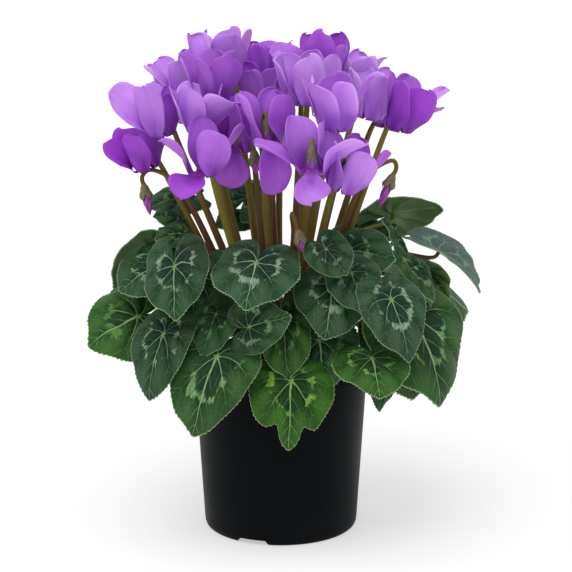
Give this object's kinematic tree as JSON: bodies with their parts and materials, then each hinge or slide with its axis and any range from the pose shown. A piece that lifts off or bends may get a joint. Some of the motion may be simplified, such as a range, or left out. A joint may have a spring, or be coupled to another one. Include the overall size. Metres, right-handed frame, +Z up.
{
  "type": "potted cyclamen",
  "caption": "Flowering cyclamen with marbled heart-shaped leaves and swept-back petals, in a plain round nursery pot filled with soil.",
  "frame": {"origin": "middle of the pot's flat foot, on the surface that it stands on", "axes": "+Z up along the pot's axis, -Y towards the front, where the largest leaves hang, +X to the right as seen from the front"},
  "size_m": [0.2482, 0.228, 0.32],
  "materials": {
    "pot": "satin black moulded plastic",
    "soil": "dark crumbly potting soil",
    "stalk": "smooth brownish green stems",
    "leaf": "waxy green leaf with pale marbling",
    "petal": "soft satin violet petal",
    "bud": "rolled magenta violet petals"
  },
  "bodies": {
    "root": {"bloom_03": "petal", "bloom_05": "petal", "bloom_07": "petal", "bloom_09": "petal", "bloom_12": "petal", "bloom_13": "petal", "bloom_14": "petal", "bloom_17": "petal", "bloom_19": "petal", "bloom_20": "petal", "bloom_21": "petal", "bloom_22": "petal", "bloom_23": "petal", "blooms_01_02": "petal", "blooms_04_06": "petal", "blooms_08_18": "petal", "blooms_10_11": "petal", "blooms_15_16": "petal", "bud_1": "bud", "bud_2": "bud", "bud_3": "bud", "bud_4": "bud", "leaf_01": "leaf", "leaf_02": "leaf", "leaf_04": "leaf", "leaf_05": "leaf", "leaf_06": "leaf", "leaf_07": "leaf", "leaf_08": "leaf", "leaf_09": "leaf", "leaf_10": "leaf", "leaf_11": "leaf", "leaf_12": "leaf", "leaf_13": "leaf", "leaf_14": "leaf", "leaf_16": "leaf", "leaf_17": "leaf", "leaf_18": "leaf", "leaf_19": "leaf", "leaf_20": "leaf", "leaf_21": "leaf", "leaf_22": "leaf", "leaf_23": "leaf", "leaf_24": "leaf", "leaf_25": "leaf", "leaf_29": "leaf", "leaf_31": "leaf", "leaf_32": "leaf", "leaf_33": "leaf", "leaf_35": "leaf", "leaf_36": "leaf", "leaves_03_30": "leaf", "leaves_26_27": "leaf", "leaves_41_46": "leaf", "leaves_42_43": "leaf", "leaves_44_45": "leaf", "leaves_47_48": "leaf", "pot": "pot", "soil": "soil", "stalks": "stalk"}
  },
  "joints": []
}
